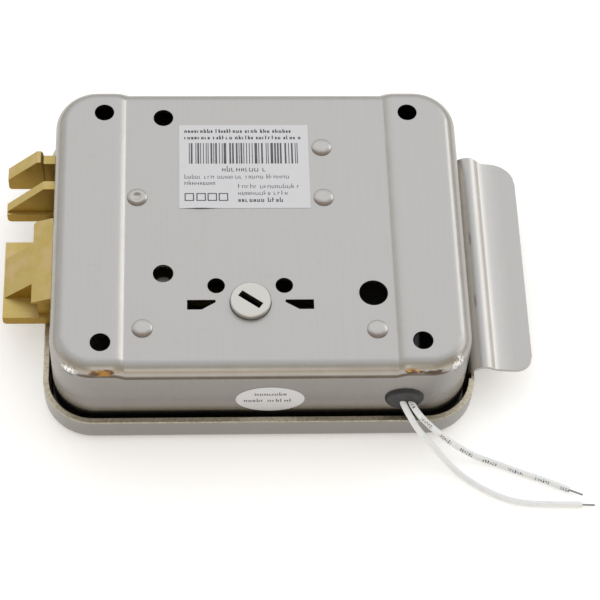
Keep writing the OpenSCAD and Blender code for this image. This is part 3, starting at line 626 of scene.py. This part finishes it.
def relaxed(path, passes):
    """The same path with its kinks evened out; its first and last points stay."""
    for _ in range(passes):
        inner = [(a + 2 * b + c) / 4 for a, b, c in zip(path, path[1:], path[2:])]
        path = [path[0], *inner, path[-1]]
    return path


def run_at(path, i):
    """Direction of a path at its point i."""
    return (path[min(i + 1, len(path) - 1)] - path[max(i - 1, 0)]).normalized()


def path_frames(path):
    """Side and up at each point of a path, turning as little as possible."""
    tangents = [run_at(path, i) for i in range(len(path))]
    side = tangents[0].cross(UP).normalized()
    if side.length < 0.5:
        side = tangents[0].cross(Vector((0, 1, 0))).normalized()
    frames = []
    for tangent in tangents:
        side = (side - side.dot(tangent) * tangent).normalized()
        frames.append((side, side.cross(tangent)))
    return frames


def tube(path, radii, sides):
    """Vertices and faces of a closed round tube; radii has one radius for each point of the path."""
    vertices, faces = [], []
    for point, radius, (side, up) in zip(path, radii, path_frames(path)):
        for k in range(sides):
            a = 2 * math.pi * k / sides
            vertices.append(point + radius * (math.cos(a) * side + math.sin(a) * up))
    for i in range(len(path) - 1):
        for k in range(sides):
            a, b = i * sides + k, i * sides + (k + 1) % sides
            faces.append((a, b, b + sides, a + sides))
    faces.append(tuple(reversed(range(sides))))
    faces.append(tuple((len(path) - 1) * sides + k for k in range(sides)))
    return vertices, faces


def lathe(profile, centre, axis, sides):
    """Vertices and faces of a closed turned shape; profile is (radius, distance along the axis), from pole
    to pole."""
    axis = Vector(axis)
    side = axis.orthogonal().normalized()
    up = axis.cross(side)
    vertices = [Vector(centre) + profile[0][1] * axis, Vector(centre) + profile[-1][1] * axis]
    for radius, along in profile[1:-1]:
        for k in range(sides):
            a = 2 * math.pi * k / sides
            vertices.append(Vector(centre) + along * axis + radius * (math.cos(a) * side + math.sin(a) * up))
    rings = len(profile) - 2
    faces = []
    for k in range(sides):
        j = (k + 1) % sides
        faces.append((0, 2 + j, 2 + k))
        faces.append((1, 2 + (rings - 1) * sides + k, 2 + (rings - 1) * sides + j))
        for i in range(rings - 1):
            a, b = 2 + i * sides + k, 2 + i * sides + j
            faces.append((a, b, b + sides, a + sides))
    return vertices, faces


def merged(parts):
    """Vertices and faces of several shapes as one."""
    vertices, faces = [], []
    for part_vertices, part_faces in parts:
        start = len(vertices)
        vertices += part_vertices
        faces += [tuple(start + i for i in face) for face in part_faces]
    return vertices, faces


def closed_sheet(top, bottom, row):
    """Vertices and faces of a closed sheet between two grids of points, with that many points in a row."""
    rows, n = len(top) // row, len(top)
    faces = []
    for i in range(rows - 1):
        for k in range(row - 1):
            a = i * row + k
            faces.append((a, a + 1, a + row + 1, a + row))
            faces.append((n + a, n + a + row, n + a + row + 1, n + a + 1))
    edge = [i * row for i in range(rows)] + [(rows - 1) * row + k for k in range(1, row)]
    edge += [i * row + row - 1 for i in range(rows - 2, -1, -1)] + list(range(row - 2, 0, -1))
    for a, b in zip(edge, edge[1:] + edge[:1]):
        faces.append((a, b, n + b, n + a))
    return top + bottom, faces


def oval_sheet(middle, half_w, half_h, front, back, rings, sides):
    """Vertices and faces of a closed upright oval sheet that faces along Y."""
    vertices = [Vector((middle.x, front, middle.z)), Vector((middle.x, back, middle.z))]
    for y in (front, back):
        for i in range(1, rings + 1):
            for k in range(sides):
                a, share = 2 * math.pi * k / sides, i / rings
                x, z = share * half_w * math.cos(a), share * half_h * math.sin(a)
                vertices.append(Vector((middle.x + x, y, middle.z + z)))
    faces = []
    for k in range(sides):
        j = (k + 1) % sides
        for layer in range(2):
            start = 2 + layer * rings * sides
            faces.append((layer, start + k, start + j))
            for i in range(rings - 1):
                a, b = start + i * sides + k, start + i * sides + j
                faces.append((a, a + sides, b + sides, b))
        outer = 2 + (rings - 1) * sides
        faces.append((outer + k, outer + j, outer + rings * sides + j, outer + rings * sides + k))
    return vertices, faces


def out_facing(made):
    """Turns all faces outwards."""
    work = bmesh.new()
    work.from_mesh(made.data)
    bmesh.ops.recalc_face_normals(work, faces=work.faces)
    work.to_mesh(made.data)
    work.free()


# ---------- leads ----------

LEAD_RADIUS = 1.0
PLAIN_ROUTE = [
    (41.8, -49, 17.3), (41.8, -51, 17.3), (42.8, -52.8, 16.2), (44.6, -54.9, 13.8), (46.4, -57, 11.4),
    (48.8, -59, 8.8), (52, -61, 6), (55.6, -64, 2.8), (58.6, -66.8, 1.4), (62, -69.6, 1), (66.4, -72.8, 1),
    (70.9, -75.3, 1), (75.3, -77, 1), (79.7, -77.8, 1), (85, -78.1, 1), (90.5, -78.3, 1), (96, -78.4, 1),
]
PRINTED_ROUTE = [
    (44.2, -49, 17.4), (44.3, -51, 17.4), (45.4, -52.8, 16.2), (47.6, -54.8, 13.8), (50.8, -56.6, 11),
    (54.6, -58.4, 7.8), (59.4, -60.2, 4.4), (65, -62.3, 1.8), (71.7, -64.6, 1), (78.5, -67.5, 1),
    (85.3, -70.1, 1), (89, -71.8, 1), (92.7, -73.5, 1),
]
PLAIN_TIP = (100, -78.6, 1)
PRINTED_TIP = (96.7, -75.2, 1)


def lead(name, route, material, node):
    """One lead's sleeve: a round tube along its route, with a UV map round and along it."""
    sides, step, cut, passes = 20, 0.7, 0.12, 14
    path = relaxed(smooth_path(route, step), passes)
    radii = [LEAD_RADIUS] * len(path)
    radii[-1] = LEAD_RADIUS - cut
    vertices, faces = tube(path, radii, sides)
    made = piece(name, vertices, faces, material, "case", "lead_sleeve", node)
    lengths = [0.0]
    for a, b in zip(path, path[1:]):
        lengths.append(lengths[-1] + (b - a).length)
    wrap = made.data.uv_layers.new(name="along")
    for polygon in made.data.polygons:
        if len(polygon.vertices) > 4:
            continue
        seam = {v % sides for v in polygon.vertices} == {0, sides - 1}
        for loop in polygon.loop_indices:
            ring, k = divmod(made.data.loops[loop].vertex_index, sides)
            share = 1.0 if seam and k == 0 else k / sides
            wrap.data[loop].uv = (share, lengths[ring])


def bare_strands(name, start, tip):
    """Seven tinned strands twisted together, inside the bare end's CAD tube."""
    strand_r, lay_r, turns, steps, sides, around = 0.11, 0.21, 1.1, 24, 8, 6
    start, tip = Vector(start), Vector(tip)
    along = (tip - start).normalized()
    side = along.cross(UP).normalized()
    up = side.cross(along)
    inside = 1.5
    parts = []
    for strand in range(around + 1):
        path = []
        reach = 1.0 if strand == 0 else 0.97 - 0.02 * (strand % 3)
        for i in range(steps + 1):
            share = i / steps
            a = 2 * math.pi * (strand / around + turns * share)
            offset = 0.0 if strand == 0 else lay_r
            place = start.lerp(tip, share * reach) - inside * (1 - share) * along
            path.append(place + offset * (math.cos(a) * side + math.sin(a) * up))
        parts.append(tube(path, [strand_r] * len(path), sides))
    return piece(name, *merged(parts), MATERIALS["tinned_strands"], "case", "tinned_wire", "bare_lead_ends")


def make_leads():
    plain_strands = bare_strands("lead_plain_strands", PLAIN_ROUTE[-1], PLAIN_TIP)
    printed_strands = bare_strands("lead_printed_strands", PRINTED_ROUTE[-1], PRINTED_TIP)
    plain, printed = MATERIALS["lead_sleeve"], MATERIALS["printed_sleeve"]
    lead("lead_plain_sleeve", PLAIN_ROUTE, plain, "lead_plain")
    lead("lead_printed_sleeve", PRINTED_ROUTE, printed, "lead_printed")


def make_inner_leads():
    """The same two leads inside the case, from the grommet to the coil."""
    routes = [
        [
            (41.8, -49, 17.3), (42.4, -44, 17), (44.5, -36, 16.5), (45, -26, 16), (45, -12, 16), (43, 0, 17),
            (37, 6, 19.5), (34, 8.6, 21), (33.6, 10.4, 21.8),
        ],
        [
            (44.2, -49, 17.4), (45.4, -44, 18.4), (47.2, -36, 18.6), (47.6, -26, 18.6), (47, -12, 18.6),
            (43, 3, 20), (36, 5.5, 22.6), (31.6, 7.6, 23.4), (30.4, 10.6, 23.4),
        ],
    ]
    parts = []
    for route in routes:
        path = smooth_path(route, 1.2)
        parts.append(tube(path, [LEAD_RADIUS] * len(path), 16))
    piece("inner_lead_pair", *merged(parts), MATERIALS["lead_sleeve"], "case", "lead_sleeve", "inner_leads")


def make_grommet():
    """Moulded rubber bush with a domed face and a shallow well round the leads."""
    low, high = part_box("grommet")
    centre = ((low.x + high.x) / 2 / MM, 0, (low.z + high.z) / 2 / MM)
    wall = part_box("housing")[0].y / MM
    profile = [(0, 2.4), (5.1, 2.4), (5.4, 2.1), (5.4, 1.3), (4.6, 1.2), (4.6, 0.1), (5.7, 0.05)]
    profile += [(5.85 - 0.9 * (1 - math.cos(a)), -1.0 * math.sin(a)) for a in (0.0, 0.5, 0.9, 1.25, 1.57)]
    profile += [(4.2, -1.1), (3.4, -1.08), (3.0, -0.9), (2.6, -0.72), (0, -0.7)]
    vertices, faces = lathe(profile, (centre[0], wall, centre[2]), (0, 1, 0), 64)
    pressed = 0.76
    for v in vertices:
        if v.y < wall and v.z > centre[2]:
            v.z = centre[2] + (v.z - centre[2]) * pressed
    rubber = MATERIALS["grommet_rubber"]
    made = piece("grommet_bush", vertices, faces, rubber, "case", "grommet_rubber", "grommet")
    out_facing(made)


# ---------- finger pull ----------


def make_finger_pull():
    """Rolled strip with round corners, a fine grid over the strip that the CAD node takes."""
    low, high = (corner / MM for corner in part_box("pull_lip"))
    line = [
        (63.9, 2), (63.9, 9.4), (64.3, 11.2), (65.3, 12.7), (66.8, 13.8), (68.6, 14.2), (70.2, 13.75),
        (71.3, 13.1), (72.5, 12.70), (74.3, 12.40), (76.4, 12.18), (78.8, 12.08), (high.x, 12.1),
    ]
    near_r, far_r, thickness, across = 5.0, 8.0, 1.0, 28
    shoulder_start, shoulder_end, shoulder = 69.4, 73.4, 1.3
    curve = smooth_path([(x, 0, z) for x, z in line], 0.5)
    top, bottom = [], []
    for i, point in enumerate(curve):
        run = run_at(curve, i)
        normal = Vector((-run.z, 0, run.x))
        near_cut = max(0.0, point.x - (high.x - near_r))
        far_cut = max(0.0, point.x - (high.x - far_r))
        y0 = low.y + near_r - math.sqrt(near_r ** 2 - near_cut ** 2)
        share = min(max((point.x - shoulder_start) / (shoulder_end - shoulder_start), 0), 1)
        far_y = high.y - shoulder * share * share * (3 - 2 * share)
        y1 = far_y - far_r + math.sqrt(max(0.0, far_r ** 2 - far_cut ** 2))
        for k in range(across + 1):
            y = Vector((0, y0 + (y1 - y0) * k / across, 0))
            top.append(point + y + normal * thickness / 2)
            bottom.append(point + y - normal * thickness / 2)
    shape = closed_sheet(top, bottom, across + 1)
    made = piece("finger_pull", *shape, MATERIALS["pull_steel"], "case", "stainless", "pull_lip")
    out_facing(made)
    ease_edges(made, 0.18, 3)


# ---------- springs and coil ----------


def spring_path(length, coil_r, wire_r, turns):
    """Helix along +X with a closed turn at each end."""
    steps = 20
    count = round(turns * steps)
    path = []
    for i in range(count + 1):
        turn = i / steps
        ends = min(turn, turns - turn, 1.0)
        share = (turn - 0.5 + (0.5 if ends >= 1 else 0)) / turns
        rise = wire_r + (length - 2 * wire_r) * min(max(share, 0), 1)
        a = 2 * math.pi * turn
        path.append(Vector((rise, (coil_r - wire_r) * math.cos(a), (coil_r - wire_r) * math.sin(a))))
    return path


def make_spring(name, node, wire_r, turns, along_z=False):
    """A spring in the space of its CAD node."""
    low, high = (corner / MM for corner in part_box(node))
    middle = (low + high) / 2
    size = high - low
    length, coil_r = (size.z, size.x / 2) if along_z else (size.x, size.y / 2)
    path = spring_path(length, coil_r, wire_r, turns)
    if along_z:
        path = [Vector((middle.x + p.y, middle.y + p.z, low.z + p.x)) for p in path]
    else:
        path = [Vector((low.x + p.x, middle.y + p.y, middle.z + p.z)) for p in path]
    vertices, faces = tube(path, [wire_r] * len(path), 8)
    made = piece(name, vertices, faces, MATERIALS["spring_steel"], "case", "spring_steel", node)
    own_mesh(made)


def make_springs():
    make_spring("main_bolt_coil_spring", "main_bolt_spring", 0.45, 9)
    make_spring("loading_bolt_coil_spring", "loading_bolt_spring", 0.35, 8)
    make_spring("trigger_bolt_coil_spring", "trigger_bolt_spring", 0.35, 8)
    make_spring("armature_coil_spring", "armature_spring", 0.35, 3)
    make_spring("button_coil_spring", "button_spring", 0.4, 4, along_z=True)


def make_winding():
    """The coil's outer layer, wire beside wire."""
    low, high = (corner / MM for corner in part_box("solenoid_coil"))
    middle = (low + high) / 2
    outer, inner, wire = (high.z - low.z) / 2, 4.95, 0.45
    turns = int((high.x - low.x) / wire)
    pitch = (high.x - low.x) / turns
    ridge = [(0.0, -0.12), (0.25, -0.03), (0.5, 0.0), (0.75, -0.03)]
    outline = [(outer + drop, low.x + (i + share) * pitch) for i in range(turns) for share, drop in ridge]
    outline += [(outer - 0.12, high.x), (inner, high.x), (inner, low.x)]
    sides = 48
    angles = [2 * math.pi * k / sides for k in range(sides)]
    vertices = [
        Vector((x, middle.y + r * math.cos(a), middle.z + r * math.sin(a)))
        for r, x in outline for a in angles
    ]
    faces = []
    for i in range(len(outline)):
        j = (i + 1) % len(outline)
        for k in range(sides):
            m = (k + 1) % sides
            faces.append((i * sides + k, i * sides + m, j * sides + m, j * sides + k))
    copper = MATERIALS["enamelled_copper"]
    made = piece("coil_winding", vertices, faces, copper, "case", "winding", "solenoid_coil")
    out_facing(made)


# ---------- paper label and sticker ----------


def label_lift(across, down):
    """Height in mm that the label has come off the steel, for a place 0..1 across and down it."""
    curl_middle, curl_width, curl_start, curl_height = 0.16, 0.13, 0.86, 0.30
    reach = max(0.0, down - curl_start) / (1 - curl_start)
    curl = math.exp(-((across - curl_middle) / curl_width) ** 2) * reach
    return curl_height * curl ** 2


def make_label():
    """Paper sheet on the door side: flat but for one stretch of its lower edge."""
    low, high = (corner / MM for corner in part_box("info_label"))
    columns, rows, paper = 48, 36, high.z - low.z
    top, bottom = [], []
    for j in range(rows + 1):
        for i in range(columns + 1):
            u, v = i / columns, j / rows
            z = low.z + label_lift(u, v)
            place = Vector((low.x + u * (high.x - low.x), high.y - v * (high.y - low.y), z))
            bottom.append(place)
            top.append(place + UP * paper)
    shape = closed_sheet(top, bottom, columns + 1)
    made = piece("door_label_paper", *shape, MATERIALS["label_paper"], "case", "label_paper", "info_label")
    out_facing(made)
    ease_edges(made, 0)


def ink_block(place, x0, x1, y0, y1, rise=0.012):
    """Thin closed block of ink; place(x, y, height) gives its points."""
    corners = [(x0, y0), (x1, y0), (x1, y1), (x0, y1)]
    vertices = [place(x, y, h) for h in (-0.01, rise) for x, y in corners]
    sides = [(k, (k + 1) % 4, 4 + (k + 1) % 4, 4 + k) for k in range(4)]
    return vertices, [(3, 2, 1, 0), (4, 5, 6, 7), *sides]


def dummy_line(place, draw, x0, x1, y, height, weight):
    """A line of dummy text: strokes of chance height and width, in groups like words."""
    parts, x = [], x0
    left_in_word = draw.randint(4, 9)
    while x < x1 - height * 0.3:
        width = height * draw.uniform(0.34, 0.62)
        tall = height * draw.choice((0.62, 0.66, 0.70, 1.0))
        stroke = height * weight
        parts.append(ink_block(place, x, x + stroke, y, y + tall))
        if draw.random() < 0.75:
            parts.append(ink_block(place, x + width - stroke, x + width, y, y + height * 0.62))
        level, thin = y + draw.choice((0.0, 0.30, 0.5)) * height, stroke * 0.8
        parts.append(ink_block(place, x + thin, x + width - thin, level, level + thin))
        x += width + height * 0.2
        left_in_word -= 1
        if left_in_word == 0:
            x += height * 0.45
            left_in_word = draw.randint(3, 9)
    return parts


def bar_code(place, draw, x0, x1, y0, y1):
    """Bars of chance width that code nothing."""
    parts, x, module = [], x0, 0.29
    while x < x1:
        width = module * draw.choice((1, 1, 1, 2, 2, 3))
        parts.append(ink_block(place, x, min(x + width * 0.92, x1), y0, y1))
        x += width + module * draw.choice((1, 1, 1, 2, 2, 3))
    return parts


def plain_mark(place, x, y, size):
    """A small framed square, in place of any mark."""
    line = size * 0.12
    frame_bars = [
        (x, x + size, y, y + line), (x, x + size, y + size - line, y + size),
        (x, x + line, y + line, y + size - line), (x + size - line, x + size, y + line, y + size - line),
    ]
    return [ink_block(place, *bar) for bar in frame_bars]


def make_label_print():
    """Dummy lines and bars in the places of the label's print."""
    draw = random.Random(7)
    low, high = (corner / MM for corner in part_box("info_label"))
    width, depth = high.x - low.x, high.y - low.y

    def place(x, y, h):
        return Vector((low.x + x, low.y + y, high.z + h + label_lift(x / width, 1 - y / depth)))

    lines = [
        (0.04, 0.87, 0.905, 1.45, 0.24), (0.04, 0.95, 0.825, 1.45, 0.24), (0.33, 0.66, 0.435, 2.0, 0.13),
        (0.04, 0.85, 0.350, 1.65, 0.12), (0.04, 0.29, 0.275, 1.65, 0.12), (0.45, 0.94, 0.235, 1.65, 0.12),
        (0.45, 0.85, 0.155, 1.65, 0.12), (0.45, 0.80, 0.072, 1.65, 0.20),
    ]
    parts = bar_code(place, draw, 0.075 * width, 0.92 * width, 0.53 * depth, 0.78 * depth)
    for x0, x1, y, height, weight in lines:
        parts += dummy_line(place, draw, x0 * width, x1 * width, y * depth, height, weight)
    for share in (0.04, 0.13, 0.215, 0.30):
        parts += plain_mark(place, share * width, 0.085 * depth, 2.9)
    piece("door_label_print", *merged(parts), MATERIALS["printing_ink"], "case", "label_paper")


def make_sticker():
    """Small oval paper sticker on the lead side, with two dummy lines."""
    low, high = (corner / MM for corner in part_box("inspection_sticker"))
    middle, half_w, half_h = (low + high) / 2, (high.x - low.x) / 2, (high.z - low.z) / 2
    rings, sides = 8, 72
    shape = oval_sheet(middle, half_w, half_h, low.y, high.y, rings, sides)
    made = piece(
        "inspection_sticker_paper", *shape, MATERIALS["label_paper"], "case", "label_paper",
        "inspection_sticker",
    )
    out_facing(made)
    ease_edges(made, 0)

    def place(x, y, h):
        return Vector((middle.x + x, low.y - h, middle.z + y))

    draw = random.Random(3)
    parts = dummy_line(place, draw, -7.8, 7.8, -1.6, 1.9, 0.16)
    parts += dummy_line(place, draw, -4.6, 4.6, 2.2, 1.9, 0.16)
    print_piece = piece(
        "inspection_sticker_print", *merged(parts), MATERIALS["printing_ink"], "case", "label_paper"
    )
    out_facing(print_piece)


# ---------- CAD nodes that stay ----------

KEPT = {
    "case_steel": {"housing": 0.12},
    "cover_steel": {"front_cover": 0.35},
    "zinc_steel": {
        "mechanism_plate": 0.1, "cover_pillars": 0.15, "bolt_guide": 0.1, "spring_stop": 0.15, "cam": 0.25,
        "cylinder_nut": 0.3, "solenoid_frame": 0.15, "solenoid_core": 0.1, "release_pawl": 0.15,
    },
    "satin_steel": {
        "pillar_rivets": 0.08, "solenoid_rivets": 0.08, "cover_screws": 0.1, "armature": 0.2,
        "pawl_pin": 0.15,
    },
    "spring_steel": {"button_clip": 0.08, "armature_pin": 0.15, "armature_clip": 0.1},
    "satin_nickel": {"coupling_disc": 0.1, "push_button": 0.35},
    "cast_brass": {"main_bolt": 0.3, "loading_bolt": 0.3, "trigger_bolt": 0.3},
    "turned_brass": {"cylinder_body": 0.25, "cylinder_plug": 0.12},
    "black_plastic": {"button_bezel": 0.3, "solenoid_bobbin": 0.12},
}


def finish_kept_nodes():
    for material, nodes in KEPT.items():
        for node, edge in nodes.items():
            keep(node, MATERIALS[material], edge)


# ---------- the scene ----------

make_camera()
make_leads()
make_inner_leads()
make_grommet()
make_finger_pull()
make_springs()
make_winding()
make_label()
make_label_print()
make_sticker()
finish_kept_nodes()
make_world()
make_lights()
make_floor()
